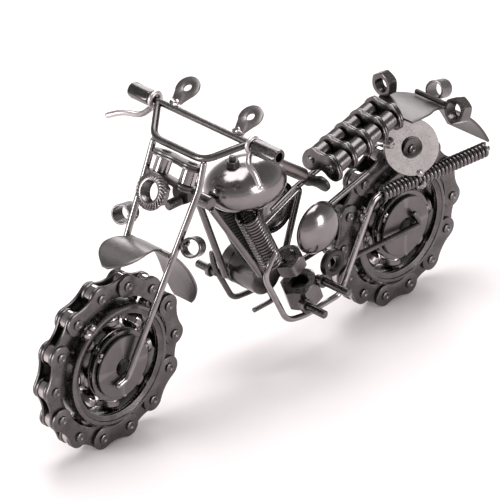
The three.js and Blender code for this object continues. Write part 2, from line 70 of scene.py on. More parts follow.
PITCH = 12.7
LINKS = 14
LINK_ANGLE = 2 * math.pi / LINKS
PIN_CIRCLE = PITCH / (2 * math.sin(math.pi / LINKS))
PLATE_END = 4.25
PLATE_WAIST = 3.05
INNER_PLATE = (1.4, 2.45)  # from the chain's middle plane to the plate's two faces
OUTER_PLATE = (2.58, 3.62)
ROLLER_R = 3.85
PIN_R = 1.8
PIN_HALF = 4.45

# The bearing: outer race from "out" to "outer", inner race from "inner" to "bore", and their grooves.
RACE = {"out": 22.5, "half": 6.0, "bore": 10.0, "outer": 19.1, "outer_groove": 20.0,
        "inner": 13.4, "inner_groove": 12.5}
BALL_CIRCLE = 16.25
BALL_R = 3.7
BALLS = 8
WASHER = {"outer": 11.6, "hole": 3.3, "from": 6.3, "to": 7.4}  # "from" and "to" are along the axle
ROD = 1.1
BAR_ROD = 1.3
LEG_ROD = 1.2
HUB_ROD_Y = 8.9

RAKE = math.radians(26)
FORK_UP = Vector((-math.sin(RAKE), 0, math.cos(RAKE)))
FORK_OUT = Vector((math.cos(RAKE), 0, math.sin(RAKE)))
CYLINDER_UP = Vector((0.35, 0, 0.937)).normalized()
SPRING_UP = Vector((0.455, 0, 0.89)).normalized()
LAMP_AXIS = Vector((0.955, 0, 0.295)).normalized()
BAR_TOP = Vector((32.6, 22.3, 107.5))
BAR_LOW = Vector((44.7, 12.4, 101.7))
NECK = Vector((46.2, 0, 93.6))


def toward(side, *points):
    """The same points on the left (1) or the right (-1)."""
    return [Vector((x, side * y, z)) for x, y, z in points]


# ---- Closed meshes ------------------------------------------------------------------
# How a bar's end closes: each step's distance from the end, and its radius, over the bar's radius.
BAR_ENDS = {"cut": ((0, 0.84), (0.16, 1)), "round": ((0, 0.3), (0.13, 0.6), (0.4, 0.87), (1, 1))}


class Shape:
    """Closed shells gathered into one mesh, each painted with one of its materials."""

    def __init__(self):
        self.verts, self.faces, self.paint = [], [], []
        self.colour = 0

    def painted(self, colour):
        self.colour = colour
        return self

    def _face(self, corners):
        kept = [c for i, c in enumerate(corners) if c != corners[i - 1]]
        if len(kept) > 2:
            self.faces.append(kept)
            self.paint.append(self.colour)

    def loft(self, rows, closed=False):
        """Faces between rows of points. A row of one point is a tip; an open end is capped."""
        starts = []
        for row in rows:
            starts.append(len(self.verts))
            self.verts.extend(Vector(p) for p in row)
        pairs = [(i, i + 1) for i in range(len(rows) - 1)]
        if closed:
            pairs.append((len(rows) - 1, 0))
        for a, b in pairs:
            na, nb = len(rows[a]), len(rows[b])
            for i in range(max(na, nb)):
                j = (i + 1) % max(na, nb)
                self._face([starts[a] + i % na, starts[a] + j % na, starts[b] + j % nb, starts[b] + i % nb])
        if not closed:
            for k in (0, len(rows) - 1):
                if len(rows[k]) > 2:
                    self._face([starts[k] + i for i in range(len(rows[k]))])
        return self

    def turn(self, profile, start, axis, steps=48, phase=0.0, wave=None):
        """A profile of (radius, height) turned round an axis. wave(angle, r, h) may change it."""
        side, up = across(axis)
        closed = profile[0] == profile[-1]
        rows = []
        for r, h in profile[:-1] if closed else profile:
            if r < 1e-6:
                rows.append([start + axis * h])
                continue
            row = []
            for i in range(steps):
                a = phase + 2 * math.pi * i / steps
                radius, height = wave(a, r, h) if wave else (r, h)
                row.append(start + axis * height + (side * math.cos(a) + up * math.sin(a)) * radius)
            rows.append(row)
        return self.loft(rows, closed)

    def sweep(self, path, radius, sides=16, end="cut"):
        """A round bar along a path. Its ends are cut square with a small edge, or rounded."""
        steps = BAR_ENDS[end]
        rows = []
        for k, (point, (t, a, b)) in enumerate(zip(path, path_axes(path))):
            if k == 0:
                ring_set = [(point + t * d * radius, radius * s) for d, s in steps]
            elif k == len(path) - 1:
                ring_set = [(point - t * d * radius, radius * s) for d, s in reversed(steps)]
            else:
                ring_set = [(point, radius)]
            for centre, r in ring_set:
                rows.append(circle(centre, a, b, r, sides))
        return self.loft(rows)

    def slab(self, outline, low, high, origin, x_axis, y_axis, edge=0.15, droop=None, hole=None):
        """A plate of a flat outline, with rounded edges, and a round hole if hole=(x, y, r)."""
        normal = x_axis.cross(y_axis)
        soft = ((edge, 0), (edge * 0.3, edge * 0.3), (0, edge))
        levels = [(inset, low + rise) for inset, rise in soft]
        levels += [(inset, high - rise) for inset, rise in reversed(soft)]

        def place(p, level):
            sag = droop(p[0]) if droop else 0
            return origin + x_axis * p[0] + y_axis * (p[1] - sag) + normal * level

        rows = [[place(p, level) for p in shrunk(outline, inset)] for inset, level in levels]
        if hole is None:
            return self.loft(rows)
        hx, hy, hr = hole
        angles = [math.atan2(y - hy, x - hx) for x, y in outline]
        for inset, level in reversed(levels):
            r = hr + inset
            rows.append([place((hx + r * math.cos(a), hy + r * math.sin(a)), level) for a in angles])
        return self.loft(rows, closed=True)

    def bead(self, centre, radius, squash=(1, 1, 1), seed=0, lump=0.16, rings=9, steps=14):
        """A blob of weld metal, uneven and smooth."""
        centre = Vector(centre)
        rows = []
        for k in range(rings + 1):
            polar = math.pi * k / rings
            count = 1 if k in (0, rings) else steps
            row = []
            for i in range(count):
                a = 2 * math.pi * i / steps
                d = Vector((math.sin(polar) * math.cos(a), math.sin(polar) * math.sin(a), math.cos(polar)))
                swell = 1 + lump * noise.noise(d * 1.7 + Vector((seed * 3.1, seed * 1.7, 0)))
                row.append(centre + Vector(c * s for c, s in zip(d, squash)) * radius * swell)
            rows.append(row)
        return self.loft(rows)


def across(axis):
    side = AXLE.cross(axis)
    side = AHEAD.copy() if side.length < 0.1 else side.normalized()
    return side, axis.cross(side).normalized()


def circle(centre, a, b, radius, sides):
    turns = [2 * math.pi * i / sides for i in range(sides)]
    return [centre + a * radius * math.cos(t) + b * radius * math.sin(t) for t in turns]


def path_axes(path):
    """A tangent and two side directions at each point of a path, carried along without twist."""
    last = len(path) - 1
    tangents = [(path[min(i + 1, last)] - path[max(i - 1, 0)]).normalized() for i in range(len(path))]
    side = tangents[0].orthogonal().normalized()
    axes = []
    for t in tangents:
        side = (side - t * side.dot(t)).normalized()
        axes.append((t, side, t.cross(side)))
    return axes


def bent(corners, bend=3.0, cuts=8):
    """A path through corners with each bend rounded."""
    corners = [Vector(c) for c in corners]
    path = [corners[0]]
    for before, corner, after in zip(corners, corners[1:], corners[2:]):
        back, ahead = before - corner, after - corner
        reach = min(bend, 0.45 * back.length, 0.45 * ahead.length)
        a, b = corner + back.normalized() * reach, corner + ahead.normalized() * reach
        for i in range(cuts + 1):
            t = i / cuts
            path.append(a * (1 - t) ** 2 + corner * 2 * t * (1 - t) + b * t**2)
    path.append(corners[-1])
    return path


def helix(start, axis, length, radius, turns, per_turn=22):
    side, up = across(axis)
    count = int(turns * per_turn)
    path = []
    for i in range(count + 1):
        a = 2 * math.pi * turns * i / count
        path.append(start + axis * (length * i / count) + (side * math.cos(a) + up * math.sin(a)) * radius)
    return path


def shrunk(outline, inset):
    """An outline moved in by a small distance."""
    if inset == 0:
        return outline
    out = []
    for i, (x, y) in enumerate(outline):
        ax, ay = outline[i - 1]
        bx, by = outline[(i + 1) % len(outline)]
        dx, dy = bx - ax, by - ay
        size = math.hypot(dx, dy)
        out.append((x - dy / size * inset, y + dx / size * inset))
    return out


def link_outline(centres, end=PLATE_END, waist=PLATE_WAIST, cuts=9):
    """A row of round ends joined by smooth waists, anticlockwise."""
    half = (centres[1] - centres[0]) / 2
    fillet = (half**2 + waist**2 - end**2) / (2 * (end - waist))
    lean = math.atan2(half, waist + fillet)
    bottom = []
    last = len(centres) - 1
    for k, x in enumerate(centres):
        low = -math.pi if k == 0 else -math.pi / 2 - lean
        high = 0 if k == last else -math.pi / 2 + lean
        steps = cuts if k in (0, last) else 5
        for i in range(steps + 1):
            a = low + (high - low) * i / steps
            bottom.append((x + end * math.cos(a), end * math.sin(a)))
        if k < last:
            for i in range(1, 6):
                a = lean - 2 * lean * i / 6
                bottom.append((x + half - fillet * math.sin(a), fillet * math.cos(a) - fillet - waist))
    top = [(x, -y) for x, y in reversed(bottom[1:-1])]
    return bottom + top


# ---- Turned profiles: hexagons, threads, tubes and sheets ---------------------------------
HEX_CORNER = 1.135  # how far a nut's cut corners reach, over half its width across flats
CHAMFER_SLOPE = 0.58
NUT_FACE, SOLID_FACE = 0.97, 0.95  # the flat face's radius, over half the width across flats
THREAD_CUTS = 8
TOUCH = 1e-6


def hex_wave(flats):
    """Gives the radius of a hexagon with cut corners, by angle."""
    apothem = flats / 2

    def reach(angle):
        off = angle % (math.pi / 3) - math.pi / 6
        return min(apothem / math.cos(off), apothem * HEX_CORNER)

    return reach


def hex_side(height, face):
    """The stretch of a profile that hex_corner shapes, from one face to the other."""
    return [(face, 0), (face + 1, 0.3), (face + 1, height - 0.3), (face, height)]


def hex_corner(height, flats, face):
    """Gives a hexagon's radius and chamfered height, by angle."""
    reach = hex_wave(flats)

    def corner(angle, h):
        wide = reach(angle)
        slope = (wide - face) * CHAMFER_SLOPE
        return wide, (slope if h < height / 2 else height - slope)

    return corner


def solid_hex(height, flats):
    """A solid hexagon's profile and the wave that shapes its six sides."""
    face = flats / 2 * SOLID_FACE
    corner = hex_corner(height, flats, face)

    def wave(angle, r, h):
        return corner(angle, h) if r > face + 0.01 else (r, h)

    return [(0, 0), *hex_side(height, face), (0, height)], wave


def thread_wave(pitch, depth, radius):
    """Cuts a screw thread into the stretch of a profile that has this radius."""

    def wave(angle, r, h):
        if abs(r - radius) > TOUCH:
            return r, h
        saw = abs((h / pitch - angle / (2 * math.pi)) % 1 - 0.5) * 2
        return r + depth * (saw - 0.5), h

    return wave


def screw(length, radius, pitch=0.7, depth=0.3):
    """A threaded bar's profile and the wave that cuts its thread."""
    count = int(length / pitch * THREAD_CUTS)
    tip, tip_radius = 0.3, radius * 0.8
    profile = [(0, 0), (tip_radius, 0)]
    profile += [(radius, tip + (length - 2 * tip) * i / count) for i in range(count + 1)]
    profile += [(tip_radius, length), (0, length)]
    return profile, thread_wave(pitch, depth, radius)


def nut_profile(height, flats, bore, pitch, depth):
    """A hex nut's closed profile, and the wave that shapes its six sides and its thread."""
    face = flats / 2 * NUT_FACE
    corner = hex_corner(height, flats, face)
    thread = thread_wave(pitch, depth, bore)
    count = int(height / pitch * THREAD_CUTS)

    def wave(angle, r, h):
        if abs(r - bore) < TOUCH:
            return thread(angle, r, h)
        return corner(angle, h) if r > face + 0.01 else (r, h)

    profile = [(bore + depth, 0), *hex_side(height, face), (bore + depth, height)]
    profile += [(bore, height - depth - (height - 2 * depth) * i / count) for i in range(count + 1)]
    return [*profile, profile[0]], wave


def tube(start, axis, length, outer, inner, steps=56, edge=0.14):
    """An open tube, or a washer, with soft edges."""
    profile = [(inner + edge, 0), (outer - edge, 0), (outer, edge), (outer, length - edge),
               (outer - edge, length), (inner + edge, length), (inner, length - edge), (inner, edge),
               (inner + edge, 0)]
    return Shape().turn(profile, start, axis, steps)


def smooth_line(points, steps):
    """Points spaced along a smooth curve through the given ones."""
    out = []
    n = len(points)
    for k in range(steps + 1):
        u = (n - 1) * k / steps
        i = min(int(u), n - 2)
        t = u - i
        p0, p1, p2, p3 = (points[max(0, min(n - 1, i + d))] for d in (-1, 0, 1, 2))
        out.append(tuple(
            0.5 * (2 * b + (c - a) * t + (2 * a - 5 * b + 4 * c - d) * t**2 + (3 * b - a - 3 * c + d) * t**3)
            for a, b, c, d in zip(p0, p1, p2, p3)))
    return out


def on_wheel(x, radius, angle, y=0.0):
    return Vector((x + radius * math.cos(angle), y, HUB_Z + radius * math.sin(angle)))


def fender(x, arc, thick=0.85, cuts=48, wide=18, edge=0.18):
    """A bent sheet round a wheel. arc rows: (radius, degrees, width on the left, on the right)."""
    rim = [(-edge * 0.3, edge * 0.3), (0, edge), (0, thick - edge), (-edge * 0.3, thick - edge * 0.3)]
    rows = []
    for r, degrees, left, right in smooth_line(arc, cuts):
        a = math.radians(degrees)
        flat = [edge - right + (left + right - 2 * edge) * i / wide for i in range(wide + 1)]
        section = [(y, 0) for y in flat]
        section += [(left + y, depth) for y, depth in rim]
        section += [(y, thick) for y in reversed(flat)]
        section += [(-right - y, depth) for y, depth in reversed(rim)]
        rows.append([on_wheel(x, r - depth, a, y) for y, depth in section])
    return Shape().loft(rows)


# ---- Materials -----------------------------------------------------------------------
TINT = (1.04, 0.975, 0.985)
TONE_SPAN = (0.32, 0.68)
EDGE_SPAN = (0.52, 0.62)
EDGE_WEAR = 0.5
GLOSS_SPAN = (0.8, 1.3)
RELIEF_DEPTH = 0.00008


def add_node(tree, kind, inputs=None, **settings):
    node = tree.nodes.new(kind)
    for name, value in settings.items():
        setattr(node, name, value)
    for name, value in (inputs or {}).items():
        if isinstance(value, bpy.types.NodeSocket):
            tree.links.new(value, node.inputs[name])
        else:
            node.inputs[name].default_value = value
    return node


def grey(level, warm=0.0):
    red, green, blue = TINT
    return (level * (red + warm), level * green, level * (blue - warm * 0.3), 1)


def metal(name, light, dark, rough, warm=0.04, patch=160, grain=2600, relief=0.12):
    """Plated metal: cloudy tone, uneven gloss, fine relief, and edges rubbed brighter."""
    mat = bpy.data.materials.new(name)
    mat.use_nodes = True
    tree = mat.node_tree
    shader = tree.nodes["Principled BSDF"]
    shader.inputs["Metallic"].default_value = 1.0
    place = add_node(tree, "ShaderNodeTexCoord").outputs["Object"]
    clouds = add_node(tree, "ShaderNodeTexNoise", {
        "Vector": place, "Scale": patch, "Detail": 4.0, "Roughness": 0.6})
    fine = add_node(tree, "ShaderNodeTexNoise", {
        "Vector": place, "Scale": grain, "Detail": 3.0, "Roughness": 0.55})
    tone = add_node(tree, "ShaderNodeValToRGB", {"Fac": clouds.outputs["Fac"]})
    for stop, colour in enumerate((grey(dark, warm), grey(light, warm * 0.6))):
        tone.color_ramp.elements[stop].position = TONE_SPAN[stop]
        tone.color_ramp.elements[stop].color = colour
    edges = add_node(tree, "ShaderNodeMapRange", {
        "Value": add_node(tree, "ShaderNodeNewGeometry").outputs["Pointiness"],
        "From Min": EDGE_SPAN[0], "From Max": EDGE_SPAN[1], "To Min": 0.0, "To Max": EDGE_WEAR})
    rubbed = grey(min(0.75, light * 2.2), warm)
    colour = add_node(tree, "ShaderNodeMix", {
        "Factor": edges.outputs["Result"], "A": tone.outputs["Color"], "B": rubbed}, data_type="RGBA")
    tree.links.new(colour.outputs[2], shader.inputs["Base Color"])
    gloss = add_node(tree, "ShaderNodeMapRange", {
        "Value": fine.outputs["Fac"], "From Min": 0.3, "From Max": 0.7,
        "To Min": rough * GLOSS_SPAN[0], "To Max": rough * GLOSS_SPAN[1]})
    tree.links.new(gloss.outputs["Result"], shader.inputs["Roughness"])
    bump = add_node(tree, "ShaderNodeBump", {
        "Strength": relief, "Distance": RELIEF_DEPTH, "Height": fine.outputs["Fac"]})
    tree.links.new(bump.outputs["Normal"], shader.inputs["Normal"])
    return mat


def stage_floor(name, level):
    mat = bpy.data.materials.new(name)
    mat.use_nodes = True
    tree = mat.node_tree
    shader = tree.nodes["Principled BSDF"]
    shader.inputs["Roughness"].default_value = 0.9
    place = add_node(tree, "ShaderNodeTexCoord").outputs["Object"]
    clouds = add_node(tree, "ShaderNodeTexNoise", {"Vector": place, "Scale": 3.0, "Detail": 2.0})
    tone = add_node(tree, "ShaderNodeValToRGB", {"Fac": clouds.outputs["Fac"]})
    tone.color_ramp.elements[0].color = grey(level * 0.985)
    tone.color_ramp.elements[1].color = grey(level)
    tree.links.new(tone.outputs["Color"], shader.inputs["Base Color"])
    return mat


# metal(name, light tone, dark tone, roughness)
GUNMETAL = metal("black_nickel", 0.12, 0.07, 0.24)
LINK = metal("chain_steel", 0.12, 0.07, 0.3, patch=220)
BRIGHT = metal("polished_nickel", 0.3, 0.2, 0.12, relief=0.05)
TANK = metal("tank_nickel", 0.25, 0.17, 0.18, relief=0.04, patch=60, grain=900)
BALL = metal("bearing_ball", 0.5, 0.4, 0.07, relief=0.02)
DISC_METAL = metal("side_washer", 0.34, 0.25, 0.3, patch=220)
TAIL_SHEET = metal("rear_fender_sheet", 0.1, 0.075, 0.4, patch=60)
SATIN = metal("satin_nickel", 0.5, 0.4, 0.35)
SHEET = metal("fender_sheet", 0.15, 0.11, 0.32, patch=60)
# Dark steel for small dark parts, and also painted shade on the right engine spring and inside the gearbox
# bore.
DARK = metal("dark_steel_and_painted_shade", 0.05, 0.025, 0.38, relief=0.2)
WELD = metal("weld_bead", 0.28, 0.15, 0.18, patch=500, relief=0.3)
CASE = metal("crankcase_nickel", 0.11, 0.07, 0.22, patch=90)
LAMP_METAL = metal("lamp_nut", 0.22, 0.13, 0.26, relief=0.2)
GRIP_METAL = metal("grip_metal", 0.09, 0.05, 0.2, patch=420, relief=0.3, grain=1100)
SPRING = metal("spring_wire", 0.13, 0.07, 0.2)
ROLLER = metal("seat_roller", 0.1, 0.05, 0.26)
WASHER_FACE = metal("hub_washer_face", 0.11, 0.075, 0.34, patch=90)
PIPE = metal("backbone_pipe", 0.15, 0.1, 0.3, warm=0.1)


# ---- Pieces --------------------------------------------------------------------------
def look(node, shape, materials, body="frame", sharp=34):
    """Turns a shape into the piece that rides on a body and stands for a CAD node.

    sharp is the angle in degrees past which an edge between two faces stays crisp.
    """
    mesh = bpy.data.meshes.new(f"{node}_look")
    mesh.from_pydata([((x - SHIFT) * MM, y * MM, z * MM) for x, y, z in shape.verts], [], shape.faces)
    for material in materials if isinstance(materials, list) else [materials]:
        mesh.materials.append(material)
    for polygon, colour in zip(mesh.polygons, shape.paint):
        polygon.material_index = colour
    work = bmesh.new()
    work.from_mesh(mesh)
    bmesh.ops.recalc_face_normals(work, faces=work.faces)
    work.to_mesh(mesh)
    work.free()
    mesh.shade_smooth()
    mesh.set_sharp_from_angle(angle=math.radians(sharp))
    piece = bpy.data.objects.new(f"{node}_look", mesh)
    bpy.context.scene.collection.objects.link(piece)
    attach(piece, body)
    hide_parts(node)


# ---- Wheels ----------------------------------------------------------------------------
WELD_PINS = (1, 5, 8, 12)  # the chain pins that the outer race is welded to
TACK_ANGLE = {"front": math.radians(50), "rear": math.radians(27)}  # the bright beads on the left face
CAGE = {"half_width": 0.8, "thick": 0.38, "from_ball": 0.15, "bulge": 0.96, "flat": 0.32, "cuts": 24}
HUB_BEADS = (0.55, 0.7, 2.9, 4.6)  # angles of the beads round a hub washer


def pin_angle(i):
    return math.pi / 2 + (i + 0.5) * LINK_ANGLE


def roller_profile():
    half, edge, bore = INNER_PLATE[0] - 0.08, 0.18, 2.6
    return [(bore, -half), (ROLLER_R - edge, -half), (ROLLER_R, -half + edge), (ROLLER_R, half - edge),
            (ROLLER_R - edge, half), (bore, half), (bore, -half)]


def pin_profile():
    """A riveted pin with its bush: a dimpled head at both ends."""
    h, bush = PIN_HALF, PIN_R + 0.75
    head = [(0, h - 0.22), (0.55, h - 0.22), (0.75, h - 0.05), (1.0, h), (1.45, h - 0.02),
            (1.72, h - 0.16), (PIN_R, h - 0.38)]
    far_head = [(r, -y) for r, y in head]
    middle = [(PIN_R, -INNER_PLATE[1]), (bush, -INNER_PLATE[1]), (bush, INNER_PLATE[1])]
    return [*far_head, *middle, (PIN_R, INNER_PLATE[1]), *reversed(head)]


def chain_tyre(x):
    shape = Shape()
    outline = link_outline((-PITCH / 2, PITCH / 2))
    for i in range(LINKS):
        centre = pin_angle(i) + LINK_ANGLE / 2
        origin = on_wheel(x, PIN_CIRCLE * math.cos(LINK_ANGLE / 2), centre)
        along = Vector((-math.sin(centre), 0, math.cos(centre)))
        out = Vector((math.cos(centre), 0, math.sin(centre)))
        near, far = INNER_PLATE if i % 2 else OUTER_PLATE
        for low, high in ((near, far), (-far, -near)):
            shape.painted(0).slab(outline, low, high, origin, along, out, edge=0.2)
    for i in range(LINKS):
        pin = on_wheel(x, PIN_CIRCLE, pin_angle(i))
        shape.painted(1).turn(roller_profile(), pin, AXLE, 40)
        shape.painted(0).turn(pin_profile(), pin, AXLE, 28)
    return shape


def outer_race(x, end, seed):
    """The ring that the balls run in, with a dished left face and its welds to the chain."""
    out, inside, groove, half = (RACE[key] for key in ("out", "outer", "outer_groove", "half"))
    lip = 0.45
    profile = [
        (inside + 0.25, -half), (out - lip, -half), (out, -half + lip), (out, half - lip),
        (out - lip, half), (out - 1.5, half), (out - 1.7, half - 0.35), (inside + 0.5, half - 0.75),
        (inside, half - 0.9), (inside, 4.9), (inside + 0.5, 4.7), (inside + 0.5, 4.1), (inside, 3.9),
        (inside, 2.7), (groove - 0.2, 1.5), (groove, 0), (groove - 0.2, -1.5), (inside, -2.7),
        (inside, -3.9), (inside + 0.5, -4.1), (inside + 0.5, -4.7), (inside, -4.9),
        (inside, -half + 0.3), (inside + 0.25, -half),
    ]
    shape = Shape().painted(0).turn(profile, Vector((x, 0, HUB_Z)), AXLE, 112)
    for k, pin in enumerate(WELD_PINS):
        for side in (LEFT, RIGHT):
            centre = on_wheel(x, out + 0.5, pin_angle(pin) + 0.03 * side, side * 2.2)
            shape.painted(0).bead(centre, 1.7, (1, 1.15, 1), seed + 2 * k + side, lump=0.35)
    for turn, size in ((0, 1.9), (0.13, 1.5)):
        centre = on_wheel(x, out + 0.4, TACK_ANGLE[end] + turn, 4.9)
        shape.painted(1).bead(centre, size, (1, 0.9, 1), seed + 5, lump=0.4)
    return shape


def ball_set(x):
    """Balls held between two waved cage rings, with a rivet between each two balls."""
    shape = Shape()
    step = 2 * math.pi / BALLS
    for i in range(BALLS):
        centre = on_wheel(x, BALL_CIRCLE, math.pi / 2 + i * step)
        shape.painted(0).bead(centre, BALL_R, lump=0, rings=16, steps=28)
    cuts = BALLS * CAGE["cuts"]
    wide, thick = CAGE["half_width"], CAGE["thick"]
    for side in (LEFT, RIGHT):
        rows = []
        for k in range(cuts):
            a = 2 * math.pi * k / cuts
            off = abs((a / step + 0.5) % 1 - 0.5) * step * BALL_CIRCLE
            bulge = math.sqrt(max(0, (BALL_R + CAGE["from_ball"]) ** 2 - off**2))
            y = side * max(CAGE["flat"], bulge * CAGE["bulge"])
            section = []
            for r, rise in ((-wide, 0), (wide, 0), (wide, thick), (-wide, thick)):
                section.append(on_wheel(x, BALL_CIRCLE + r, a + math.pi / 2, y + side * rise))
            rows.append(section)
        shape.painted(1).loft(rows, closed=True)
    rivet = [(0, 0), (0.5, 0.05), (0.7, 0.3), (0.7, 1.7), (0.5, 1.95), (0, 2)]
    for i in range(BALLS):
        centre = on_wheel(x, BALL_CIRCLE, math.pi / 2 + (i + 0.5) * step, -1.0)
        shape.painted(1).turn(rivet, centre, AXLE, 14)
    return shape


def inner_race(x):
    bore, outside, groove, half = (RACE[key] for key in ("bore", "inner", "inner_groove", "half"))
    lip, edge, seal = 0.35, 0.2, 0.4
    upper = [(groove, 0), (groove + 0.2, 1.4), (outside, 2.7), (outside, 3.8), (outside - seal, 4.0),
             (outside - seal, 4.6), (outside, 4.8), (outside, half - edge), (outside - edge, half),
             (bore + lip, half), (bore, half - lip)]
    lower = [(r, -h) for r, h in reversed(upper[1:])]
    profile = [*lower, *upper, lower[0]]
    return Shape().turn(profile, Vector((x, 0, HUB_Z)), AXLE, 96)


def hub_washer(x, side, seed):
    low, high = sorted((side * WASHER["from"], side * WASHER["to"]))
    start = Vector((x, low, HUB_Z))
    shape = tube(start, AXLE, high - low, WASHER["outer"], WASHER["hole"], 88, 0.16)
    for k, angle in enumerate(HUB_BEADS):
        centre = on_wheel(x, WASHER["outer"] + 0.5, angle, side * 6.4)
        shape.painted(1).bead(centre, 0.95, (1, 0.6, 1), seed + k, lump=0.4)
    return shape


for number, (end, hub_x) in enumerate(HUB_X.items()):
    wheel, balls = f"{end}_wheel", f"{end}_balls"
    look(f"{end}_chain_tyre", chain_tyre(hub_x), [LINK, BRIGHT], body=wheel)
    look(f"{end}_outer_race", outer_race(hub_x, end, 10 * number), [GUNMETAL, WELD], body=wheel)
    look(f"{end}_ball_set", ball_set(hub_x), [BALL, GUNMETAL], body=balls)
    look(f"{end}_inner_race", inner_race(hub_x), GUNMETAL)
    for side_name, sign in SIDES:
        shape = hub_washer(hub_x, sign, 20 * number + 3 * sign)
        look(f"{end}_hub_washer_{side_name}", shape, [WASHER_FACE, WELD])

# ---- Handlebar, fork and what they carry ---------------------------------------------
STUB_Y = 25
GRIP = {"from": 25.3, "length": {LEFT: 11.6, RIGHT: 9.8}, "radius": 3.4, "flats": 5.3,
        "bore": 1.6, "deep": 4.2}
EYE = {"y": 23.8, "radius": 2.5, "wire": 0.95, "from": -60, "sweep": 330}
LEVER = [(33.7, 23.7, 105.3), (37.1, 26.2, 102.1), (40, 32.5, 102.3), (42.9, 38.2, 99.6)]
LEVER_ROD = 1.08
MIRROR = {"y": 15.4, "stem": 7.8, "head": 4.7, "hole": 1.6, "foot": 2.1, "half_thick": 0.5,
          "lean": math.radians(58)}
LEG = [(44.4, 12.3, 101.4), (47.6, 12.8, 91.4), (79.1, HUB_ROD_Y, 27.9), (84.3, HUB_ROD_Y, 26.6)]
INDICATOR = {"length": 7.4, "outer": 3.7, "inner": 2.95}
INDICATORS = {
    LEFT: (Vector((56.6, 17.6, 74.2)), Vector((0.8, 0.43, 0.41)).normalized()),
    RIGHT: (Vector((57, -16.6, 74.2)), Vector((0.916, 0.277, 0.288)).normalized()),
}
LAMP = {"front": Vector((59, 0, 90.6)), "flange": 6.75, "rim": 1.7, "flats": 10.2, "length": 5.2, "bore": 3.8}
TEETH = {"count": 28, "from": 4.7, "slant": 0.17, "wide": 0.6, "deep": 0.8, "tall": 1.1}


def handlebar():
    shape = Shape()
    shape.sweep([Vector((BAR_TOP.x, side * STUB_Y, BAR_TOP.z)) for side in (RIGHT, LEFT)], BAR_ROD, 20)
    corners = [BAR_TOP, BAR_LOW, *toward(RIGHT, BAR_LOW), *toward(RIGHT, BAR_TOP)]
    return shape.sweep(bent(corners, 4.2, 12), BAR_ROD, 20, "round")


def grip(side):
    """A long hex nut with a blind bore at its outer end."""
    start = Vector((BAR_TOP.x, side * GRIP["from"], BAR_TOP.z))
    reach = hex_wave(GRIP["flats"])
    length, radius, bore, deep = GRIP["length"][side], GRIP["radius"], GRIP["bore"], GRIP["deep"]

    def wave(angle, r, h):
        return (min(r, reach(angle)) if r > bore + 0.3 else r), h

    profile = [(0, 0), (2.2, 0), (2.7, 0.3), (radius, 0.9), (radius, length - 0.7), (2.7, length - 0.15),
               (2.5, length), (bore + 0.25, length), (bore, length - 0.25), (bore, length - deep),
               (0, length - deep - 0.5)]
    return Shape().turn(profile, start, AXLE * side, 72, wave=wave)


def lever(side):
    """A bent wire with an eye round the handlebar."""
    eye = Vector((BAR_TOP.x, side * EYE["y"], BAR_TOP.z))
    cuts = 28
    angles = [math.radians(EYE["from"] + EYE["sweep"] * i / cuts) for i in range(cuts + 1)]
    ring = [eye + Vector((math.cos(a), 0, math.sin(a))) * EYE["radius"] for a in angles]
    shape = Shape().sweep(ring, EYE["wire"], 14, "round")
    return shape.sweep(bent(toward(side, *LEVER), 4, 12), LEVER_ROD, 18, "round")


def mirror(side):
    """A ring terminal on end, with the weld at its foot."""
    m = MIRROR
    up = Vector((-math.sin(m["lean"]), 0, math.cos(m["lean"])))
    outline = [(-m["foot"], 0), (0, 0), (m["foot"], 0), (m["foot"] + 0.1, 1.2), (m["foot"] + 0.6, 2.6)]
    for i in range(33):
        a = math.radians(-38 + 256 * i / 32)
        outline.append((m["head"] * math.cos(a), m["stem"] + m["head"] * math.sin(a)))
    outline += [(-m["foot"] - 0.6, 2.6), (-m["foot"] - 0.1, 1.2)]
    base = Vector((BAR_TOP.x, side * m["y"], BAR_TOP.z)) + up * BAR_ROD
    hole = (0, m["stem"], m["hole"])
    shape = Shape().slab(outline, -m["half_thick"], m["half_thick"], base, AXLE, up, 0.16, hole=hole)
    return shape.painted(1).bead(base + up * 0.6, 2.1, (0.8, 1.2, 0.8), side + 7, lump=0.4)


def indicator(side):
    mouth, axis = INDICATORS[side]
    start = mouth - axis * INDICATOR["length"]
    shape = tube(start, axis, INDICATOR["length"], INDICATOR["outer"], INDICATOR["inner"])
    weld = mouth - axis * 3.6 - AXLE * side * 3.9
    return shape.painted(1).bead(weld, 1.6, (1.2, 1, 1), side + 3, lump=0.4)


def headlight():
    """A serrated flange nut, face forward."""
    length, rim, flange, bore = LAMP["length"], LAMP["rim"], LAMP["flange"], LAMP["bore"]
    reach = hex_wave(LAMP["flats"])
    thread = thread_wave(1.25, 0.5, bore)
    inside = TEETH["from"]

    def wave(angle, r, h):
        if abs(r - bore) < TOUCH:
            return thread(angle, r, h)
        if h < length - rim - 0.35:
            return min(r, reach(angle)), h
        if r > inside and h > length - TEETH["tall"]:
            slant = (r - inside) * TEETH["slant"]
            across_tooth = ((angle + slant) * TEETH["count"] / (2 * math.pi)) % 1
            bite = max(0, 1 - across_tooth / TEETH["wide"])
            return r, h - TEETH["deep"] * bite * min(1, (r - inside) * 1.5)
        return r, h

    body = [(bore + 0.3, 0), (4.9, 0), (6.3, 0.5), (6.3, length - rim - 0.4), (6.0, length - rim - 0.3),
            (6.5, length - rim), (flange, length - rim + 0.3)]
    face = [(flange, length - 0.85), (6.62, length - 0.55), (6.35, length - 0.38), (6.0, length - 0.26),
            (5.65, length - 0.16), (5.3, length - 0.08), (5.0, length - 0.03), (inside, length),
            (4.4, length - 0.03), (bore + 0.3, length - 0.1)]
    cuts = 34
    inner = [(bore, length - 0.4 - (length - 0.8) * i / cuts) for i in range(cuts + 1)]
    profile = [*body, *face, *inner, body[0]]
    return Shape().turn(profile, LAMP["front"] - FORK_OUT * length, FORK_OUT, TEETH["count"] * 8, wave=wave)


